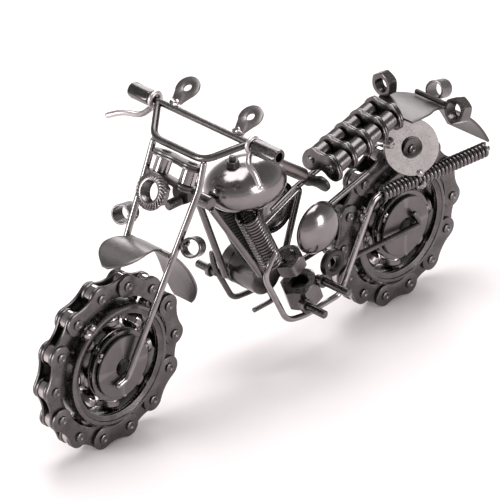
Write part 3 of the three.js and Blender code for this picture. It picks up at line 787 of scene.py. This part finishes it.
def neck_chain():
    """Two pairs of link plates between the fork legs, with two upright rollers."""
    shape = Shape()
    outline = link_outline((-PITCH / 2, PITCH / 2), 4.7, 3.3)
    for low, high in ((-4.8, -3.85), (-3.75, -2.8), (2.8, 3.75), (3.85, 4.8)):
        shape.painted(0).slab(outline, low, high, NECK, AXLE, -FORK_OUT, 0.2)
    pin = [(0, -5.4), (1.4, -5.4), (1.7, -5.1), (1.7, 5.1), (1.4, 5.4), (0, 5.4)]
    barrel = [(1.75, -2.65), (2.75, -2.65), (2.95, -2.45), (2.95, 2.45), (2.75, 2.65), (1.75, 2.65),
              (1.75, -2.65)]
    for y in (-PITCH / 2, PITCH / 2):
        foot = Vector((NECK.x, y, NECK.z))
        shape.painted(0).turn(pin, foot, FORK_UP, 28)
        shape.painted(1).turn(barrel, foot, FORK_UP, 40)
    return shape


def neck_bolt():
    shape = Shape()
    profile, wave = screw(15, 1.75)
    shape.painted(0).turn(profile, Vector((35.2, 0, 81.4)), AHEAD, 32, wave=wave)
    profile, wave = solid_hex(6.2, 7.6)
    return shape.painted(1).turn(profile, Vector((38, 0, 83.6)), AHEAD, 72, wave=wave)


def neck_lug():
    profile = [(0, 0), (2.1, 0), (2.5, 0.35), (2.5, 6.85), (2.1, 7.2), (0, 7.2)]
    return Shape().turn(profile, Vector((32.4, -3.6, 76.6)), AXLE, 40)


# radius, degrees round the wheel, half width
FRONT_FENDER = [(37.6, 88, 1.5), (39.4, 93, 6.5), (41.2, 99, 8.7), (42.6, 106, 8.2), (43.1, 113, 6.7),
                (42.9, 121, 5.9), (42, 132, 6.6), (40.8, 143, 8.0), (39.6, 153, 8.3), (38.6, 161, 6.4),
                (38.2, 165, 4.5)]
FENDER_STAY = (58.9, 9.8, 68.8)


def front_fender():
    shape = fender(FRONT_X, [(r, degrees, half, half) for r, degrees, half in FRONT_FENDER])
    stay = [*toward(RIGHT, FENDER_STAY), *toward(LEFT, FENDER_STAY)]
    return shape.sweep(stay, 0.9, 16)


look("handlebar", handlebar(), GUNMETAL)
for side_name, sign in SIDES:
    look(f"grip_{side_name}", grip(sign), GRIP_METAL, sharp=22)
    look(f"lever_{side_name}", lever(sign), SATIN)
    look(f"mirror_{side_name}", mirror(sign), [SHEET, WELD])
    leg = Shape().sweep(bent(toward(sign, *LEG), 2.2, 8), LEG_ROD, 20, "round")
    look(f"fork_leg_{side_name}", leg, BRIGHT)
    look(f"indicator_{side_name}", indicator(sign), [GUNMETAL, WELD])
look("headlight_nut", headlight(), LAMP_METAL, sharp=24)
look("neck_chain", neck_chain(), [LINK, BRIGHT])
look("neck_bolt", neck_bolt(), [GUNMETAL, DARK], sharp=22)
look("neck_lug", neck_lug(), GUNMETAL)
look("front_fender", front_fender(), SHEET)

# ---- Frame -----------------------------------------------------------------------------
EXHAUST = [(8.7, 11.9, 52), (14.4, 11.6, 43.4), (2.8, 11.4, 21), (-6.1, 11.4, 19.4), (-23.8, 11.4, 20.9),
           (-26, 11.6, 24.2), (-40.9, 12, 54.2), (-101.6, 12, 51.3)]
RAIL_RIGHT = [(17.2, 11.8, 45.8), (15.8, 11.8, 38.8), (6.6, 11.8, 22.4), (-3.1, 11.8, 21.6),
              (-30, 11.4, 24.5), (-68.9, HUB_ROD_Y, 31.4), (-64.9, HUB_ROD_Y, 37.6)]
STAY_LEFT = [(-29.6, 10.9, 32.9), (-68.9, HUB_ROD_Y, 31.4), (-64.9, HUB_ROD_Y, 37.6)]
MUFFLER = {"from": Vector((-44, 12, 54.05)), "axis": Vector((-60.7, 0, -2.9)).normalized(), "gap": 0.8,
           "length": 54.8, "radius": 2.1, "turns": 28, "wire": 0.78}
DOWN_TUBE = 1.3
DOWN_TUBES = {
    "left": [Vector((32.0, 3.1, 74.5)), Vector((13.6, 9.3, 43.1))],
    "right": [Vector((32.0, -3.1, 74.5)), Vector((12.9, -9, 35.2))],
}


def muffler():
    start = MUFFLER["from"] + MUFFLER["axis"] * MUFFLER["gap"]
    coil = helix(start, MUFFLER["axis"], MUFFLER["length"], MUFFLER["radius"], MUFFLER["turns"])
    return Shape().sweep(coil, MUFFLER["wire"], 14, "round")


def bent_rod(corners, bend, cuts):
    return Shape().sweep(bent(corners, bend, cuts), ROD, 20, "round")


look("exhaust_pipe", bent_rod(EXHAUST, 4, 10), BRIGHT)
look("exhaust_spring", muffler(), SPRING)
look("frame_rail_right", bent_rod(toward(RIGHT, *RAIL_RIGHT), 3.2, 8), GUNMETAL)
look("rear_stay_left", bent_rod(toward(LEFT, *STAY_LEFT), 2, 8), GUNMETAL)
for side_name, ends in DOWN_TUBES.items():
    look(f"down_tube_{side_name}", Shape().sweep(ends, DOWN_TUBE, 20), GUNMETAL)

# ---- Engine -----------------------------------------------------------------------------
NUT = {"centre": Vector((-3, 7, 41.1)), "height": 6, "flats": 10.2, "bore": 3.0}
STUD = {"length": 7.8, "radius": 2.75}
CYLINDER = {"foot": (4.7, 5.7, 43.3), "gap": 0.7, "length": 26.5, "radius": 3.85, "turns": 18, "wire": 0.62}
GEAR = {"top": Vector((-9.8, 5, 29.8)), "height": 9, "flats": 12.6, "bore": 3.4, "floor": 5}
PEG = {"radius": 1.5, "collar": 2.6, "collar_from": 2.4, "collar_to": 4.0}
PEGS = {
    "peg_front_left": ((-6, 9.5, 24), LEFT, 12.5),
    "peg_rear_left": ((-14.4, 9.5, 30.9), LEFT, 16),
    "peg_right": ((14.6, -11.5, 36.2), RIGHT, 9.9),
}
FOOT_ROD = [(3.7, -4.2, 19.3), (-6.4, -4.2, 19.6), (-3, -4.2, 26.4)]
DOME = {"radius": 9.9, "height": 6.0, "wall": 0.8, "cuts": 30, "base": (-13.3, 10.1, 52.1)}
SEAT_RAIL = [(-10, 8.6, 52.6), (-21.2, 8.6, 57.3), (-41, 8.6, 62.8)]


def cylinder_nut():
    profile, wave = nut_profile(NUT["height"], NUT["flats"], NUT["bore"], 1.0, 0.3)
    shape = Shape().turn(profile, NUT["centre"] - SPRING_UP * 3, SPRING_UP, 72, wave=wave)
    profile, wave = screw(STUD["length"], STUD["radius"], 1.1, 0.7)
    return shape.turn(profile, NUT["centre"] - SPRING_UP * 3.8, SPRING_UP, 40, wave=wave)


def engine_spring(side):
    start = toward(side, CYLINDER["foot"])[0] + SPRING_UP * CYLINDER["gap"]
    coil = helix(start, SPRING_UP, CYLINDER["length"], CYLINDER["radius"], CYLINDER["turns"], 28)
    return Shape().sweep(coil, CYLINDER["wire"], 12, "round")


def crankcase():
    """A turned bar across the bike, open at its right end, with a groove round it."""
    profile = [(0, 8.5), (3.2, 8.5), (3.2, 0.3), (3.5, 0), (6.9, 0), (7.4, 0.5), (7.4, 4.2), (7.0, 4.6),
               (7.0, 5.4), (7.4, 5.8), (7.4, 16.4), (6.9, 17), (0, 17)]
    return Shape().turn(profile, Vector((2.6, -15.5, 35.3)), AXLE, 72)


def gearbox():
    """A tall hex nut on a slant, with a dark cup down its blind bore: painted shade in the hole."""
    height, bore, floor_at = GEAR["height"], GEAR["bore"], GEAR["floor"]
    foot = GEAR["top"] - CYLINDER_UP * height
    profile, wave = solid_hex(height, GEAR["flats"])
    profile = [*profile[:-1], (bore + 0.4, height), (bore, height - 0.4), (bore, floor_at), (0, floor_at)]
    shape = Shape().turn(profile, foot, CYLINDER_UP, 72, wave=wave)
    # A dark cup at the floor and wall of the bore: painted shade, where the bore lies in shadow.
    painted_bore_shade = [(0, 5.1), (3.3, 5.1), (3.3, 7.6), (3.1, 7.6), (3.1, 5.4), (0, 5.4)]
    return shape.painted(1).turn(painted_bore_shade, foot, CYLINDER_UP, 48)


def peg(start, axis, length):
    r, collar, low, high = PEG["radius"], PEG["collar"], PEG["collar_from"], PEG["collar_to"]
    profile = [(0, 0), (r - 0.25, 0), (r, 0.25), (r, low), (collar - 0.2, low), (collar, low + 0.2),
               (collar, high - 0.2), (collar - 0.2, high), (r, high), (r, length - 0.25),
               (r - 0.25, length), (0, length)]
    return Shape().turn(profile, start, axis, 40)


def dome(side):
    """A thin dished cap, open towards the bike, with a rolled rim in darker metal: painted shade along its
    edge.
    """
    cuts, radius, height, wall = DOME["cuts"], DOME["radius"], DOME["height"], DOME["wall"]

    def arc(r, h):
        angles = [i / cuts * math.pi / 2 for i in range(cuts)]
        return [(r * math.cos(a), h * math.sin(a)) for a in angles] + [(0, h)]

    profile = [*reversed(arc(radius - wall, height - wall)), *arc(radius, height)]
    start = toward(side, DOME["base"])[0]
    shape = Shape().turn(profile, start, AXLE * side, 72)
    back, front, inner = radius - 0.1, radius + 0.08, radius - 0.9
    rim = [(inner, 0), (back, 0), (front, 0.2), (front, 0.75), (back, 0.95), (inner, 0.6), (inner, 0)]
    # The rolled rim gets the darker metal: painted shade along the dome's edge.
    return shape.painted(1).turn(rim, start, AXLE * side, 72)


look("cylinder_nut", cylinder_nut(), GUNMETAL, sharp=22)
# The right spring is the same wire as the left but gets the dark metal: painted shade, as it sits in shadow
# behind the left spring.
for side_name, sign in SIDES:
    look(f"engine_spring_{side_name}", engine_spring(sign), SPRING if sign == LEFT else DARK)
look("crankcase", crankcase(), CASE)
look("gearbox_nut", gearbox(), [GUNMETAL, DARK], sharp=22)
for name, (start, side, length) in PEGS.items():
    look(name, peg(Vector(start), AXLE * side, length), GUNMETAL)
look("foot_rod", Shape().sweep(bent(FOOT_ROD, 2, 8), 0.95, 18), GUNMETAL)
for side_name, sign in SIDES:
    look(f"side_dome_{side_name}", dome(sign), [TANK, GUNMETAL])
    rail = Shape().sweep(bent(toward(sign, *SEAT_RAIL), 3, 8), 1.2, 20)
    look(f"seat_rail_{side_name}", rail, GUNMETAL)
look("side_ring", tube(Vector((-21.9, 8.6, 34.3)), AXLE, 2.6, 5.35, 2.8, edge=0.5), DARK)

# ---- Tank, seat and tail ------------------------------------------------------------------
TANK_BODY = {"centre": Vector((12.1, 0, 75.7)), "size": Vector((17.05, 11.95, 9.85)),
             "pitch": math.radians(-5.5)}
CAP_AT = Vector((18.5, 0, 84.8))
BACKBONE = {"from": Vector((-2, 0, 78.6)), "axis": Vector((-9.2, 0, -6.6)).normalized()}
STRUTS = [(7.6, 0, 53.6), (-15.4, 0, 63.6), (-7, -0.8, 34.4)]
SEAT = {"rows": 5, "first": -26.8, "step": -7.8, "z": 69.4, "rise": 0.29, "link": 4.9, "end": 4.4,
        "waist": 3.1}
NOSE = {"centre": Vector((-22.2, 0, 64.5)), "up": Vector((0.35, 0, 0.937))}
DISC = {"centre": Vector((-62, 9.8, 65.7)), "normal": Vector((0.42, 0.83, 0.36)).normalized(),
        "thick": 1.3, "outer": 10.35, "hole": 3.9}
REAR_FENDER_R = 45.75
# degrees round the wheel, width on the left, width on the right
REAR_FENDER = [(86.2, 12.6, 5.5), (92, 12.9, 9), (99, 12, 11.2), (106, 9.6, 9.6), (115, 8.3, 8.3),
               (125, 8.8, 8.8), (136, 9.9, 9.9), (146, 10.4, 10.4), (153.1, 10.4, 10.4)]
TAIL_ROD = [Vector((-80.9, -5.5, 75.7)), Vector((-80.9, 8.8, 75.7))]
TAIL_AXIS = Vector((0.9, 0.2, 0.3)).normalized()


def tank():
    turn = Matrix.Rotation(TANK_BODY["pitch"], 3, "Y")
    rows = []
    rings, steps = 40, 72
    for k in range(rings + 1):
        polar = math.pi * k / rings
        count = 1 if k in (0, rings) else steps
        row = []
        for i in range(count):
            a = 2 * math.pi * i / steps
            p = (math.cos(polar), math.sin(polar) * math.cos(a), math.sin(polar) * math.sin(a))
            on_egg = Vector(c * s for c, s in zip(p, TANK_BODY["size"]))
            row.append(TANK_BODY["centre"] + turn @ on_egg)
        rows.append(row)
    return Shape().loft(rows)


def tank_cap():
    profile, wave = solid_hex(2.4, 4.6)
    shape = Shape().turn(profile, CAP_AT, UP, 72, wave=wave)
    tip = [(0, 0), (1.2, 0), (1.2, 1.7), (1.0, 1.9), (0, 1.9)]
    return shape.turn(tip, CAP_AT + UP * 2.2, UP, 24)


def backbone():
    profile = [(0, 0), (2.1, 0), (2.4, 0.3), (2.4, 18.2), (2.1, 18.6), (1.5, 18.6), (1.5, 16), (0, 16)]
    return Shape().turn(profile, BACKBONE["from"], BACKBONE["axis"], 48)


def seat_droop(y):
    return y * y / 40


def seat_chain():
    """Rows of link pairs across the seat, on two long pins with rollers between the rows."""
    shape = Shape()
    outline = link_outline((-SEAT["link"], SEAT["link"]), SEAT["end"], SEAT["waist"], 10)
    gaps = SEAT["rows"] - 1
    run = SEAT["step"] * gaps
    axis = Vector((run, 0, -run * SEAT["rise"]))
    for i in range(SEAT["rows"]):
        x = SEAT["first"] + i * SEAT["step"]
        centre = Vector((x, 0, SEAT["z"] - i * SEAT["step"] * SEAT["rise"]))
        for low, high in ((-1.0, -0.1), (0.1, 1.0)):
            shape.painted(0).slab(outline, low, high, centre, AXLE, UP, 0.15, droop=seat_droop)
    length, gap = axis.length, axis.length / gaps
    pin = [(0, -1.6), (1.4, -1.6), (1.7, -1.3), (1.7, length + 1.3), (1.4, length + 1.6), (0, length + 1.6)]
    for y in (-SEAT["link"], SEAT["link"]):
        start = Vector((SEAT["first"], y, SEAT["z"] - seat_droop(y)))
        shape.painted(0).turn(pin, start, axis.normalized(), 24)
        for i in range(gaps):
            low, high = i * gap + 1.4, (i + 1) * gap - 1.4
            roller = [(1.8, low), (3.2, low), (3.45, low + 0.25), (3.45, high - 0.25), (3.2, high),
                      (1.8, high), (1.8, low)]
            shape.painted(1).turn(roller, start, axis.normalized(), 36)
    return shape


def seat_nose():
    outline = link_outline((-4.4, 4.4), 3.3, 2.3)
    return Shape().slab(
        outline, -0.75, 0.75, NOSE["centre"], AXLE, NOSE["up"], 0.2, droop=lambda y: 1.4 - y * 0.16)


def side_washer():
    shape = tube(DISC["centre"], DISC["normal"], DISC["thick"], DISC["outer"], DISC["hole"], 96, 0.2)
    shape.painted(1).bead((-62, 14.5, 56.9), 1.6, seed=4, lump=0.3)
    shape.bead((-63.3, 14.5, 51.8), 1.5, seed=9, lump=0.4)
    return shape.bead((-54.6, 6.4, 68.6), 1.9, (1.2, 1, 1), seed=2, lump=0.5)


def open_nut(at, axis, height, flats, bore, pitch, depth):
    profile, wave = nut_profile(height, flats, bore, pitch, depth)
    return Shape().turn(profile, Vector(at), axis, 72, wave=wave)


look("tank", tank(), TANK)
look("tank_cap", tank_cap(), DARK, sharp=22)
look("backbone", backbone(), PIPE)
look("seat_struts", Shape().sweep(bent(STRUTS, 2.5, 8), 1.2, 20), GUNMETAL)
look("seat_chain", seat_chain(), [GUNMETAL, ROLLER])
look("seat_nose", seat_nose(), DARK)
look("side_washer", side_washer(), [DISC_METAL, WELD])
look("rear_fender", fender(REAR_X, [(REAR_FENDER_R, *row) for row in REAR_FENDER]), TAIL_SHEET)
look("ring_nut", open_nut((-70.4, -9.4, 82), AHEAD, 4, 8.7, 2.6, 0.9, 0.3), GUNMETAL, sharp=22)
look("tail_bracket", Shape().sweep(TAIL_ROD, 1, 16), DARK)
look("tail_tube", tube(Vector((-90.7, -1, 74.9)), TAIL_AXIS, 7.4, 3.6, 2.9), GUNMETAL)
look("tail_nut", open_nut((-84, 14.4, 74.2), LAMP_AXIS, 4.8, 9.0, 2.9, 1.1, 0.5), GUNMETAL, sharp=22)

# ---- Stage, light and camera ---------------------------------------------------------------
FLOOR_HALF = 3
AIM = Vector((0, 0, 0.05))
LIGHTS = {  # place, size, power, height over width
    "top": ((-0.1, -0.1, 1.0), 0.75, 9, 1.0),
    "left": ((1.0, -0.35, 0.3), 0.35, 7, 1.6),
    "right": ((-0.35, 1.05, 0.3), 0.3, 6, 1.6),
    "back": ((-0.8, -0.6, 0.6), 0.5, 5, 1.0),
}
SKY = ((0.0, 0.85), (0.28, 0.42), (1.0, 0.24))  # height from the horizon, brightness
CAMERA = {"azimuth": math.radians(134.79), "elevation": math.radians(29.1), "distance": 2000, "lens": 406.4}


def pale_floor():
    corners = [(x * FLOOR_HALF, y * FLOOR_HALF, 0) for x, y in ((-1, -1), (1, -1), (1, 1), (-1, 1))]
    mesh = bpy.data.meshes.new("floor")
    mesh.from_pydata(corners, [], [(0, 1, 2, 3)])
    mesh.materials.append(stage_floor("pale_floor", 0.86))
    floor = bpy.data.objects.new("floor", mesh)
    bpy.context.scene.collection.objects.link(floor)


def soft_light(name, place, size, power, ratio):
    data = bpy.data.lights.new(name, "AREA")
    data.shape = "RECTANGLE"
    data.size, data.size_y, data.energy = size, size * ratio, power
    light = bpy.data.objects.new(name, data)
    light.location = place
    light.rotation_euler = (AIM - Vector(place)).to_track_quat("-Z", "Y").to_euler()
    bpy.context.scene.collection.objects.link(light)


def studio_sky():
    """Bright at the horizon and darker overhead, so that polished metal shows its form."""
    world = bpy.data.worlds.new("studio")
    world.use_nodes = True
    tree = world.node_tree
    direction = add_node(tree, "ShaderNodeTexCoord").outputs["Generated"]
    height = add_node(tree, "ShaderNodeSeparateXYZ", {"Vector": direction}).outputs["Z"]
    sky = add_node(tree, "ShaderNodeValToRGB", {"Fac": height})
    sky.color_ramp.elements.new(0.3)
    for stop, (position, level) in enumerate(SKY):
        sky.color_ramp.elements[stop].position = position
        sky.color_ramp.elements[stop].color = (level, level * 0.985, level * 0.98, 1)
    tree.links.new(sky.outputs["Color"], tree.nodes["Background"].inputs["Color"])
    bpy.context.scene.world = world
    bpy.context.scene.view_settings.view_transform = "Standard"


def add_camera():
    azimuth, elevation = CAMERA["azimuth"], CAMERA["elevation"]
    flat = math.cos(elevation)
    toward_camera = Vector((math.sin(azimuth) * flat, -math.cos(azimuth) * flat, math.sin(elevation)))
    look_at = Vector((REAR_X + 67.2, -5.3, HUB_Z + 11.7))
    spot = look_at + toward_camera * CAMERA["distance"]
    data = bpy.data.cameras.new("camera")
    data.sensor_width = 36
    data.lens = CAMERA["lens"]
    data.clip_end = 10
    camera = bpy.data.objects.new("camera", data)
    camera.location = ((spot.x - SHIFT) * MM, spot.y * MM, spot.z * MM)
    camera.rotation_euler = toward_camera.to_track_quat("Z", "Y").to_euler()
    bpy.context.scene.collection.objects.link(camera)
    bpy.context.scene.camera = camera


pale_floor()
for name, (place, size, power, ratio) in LIGHTS.items():
    soft_light(name, place, size, power, ratio)
studio_sky()
add_camera()
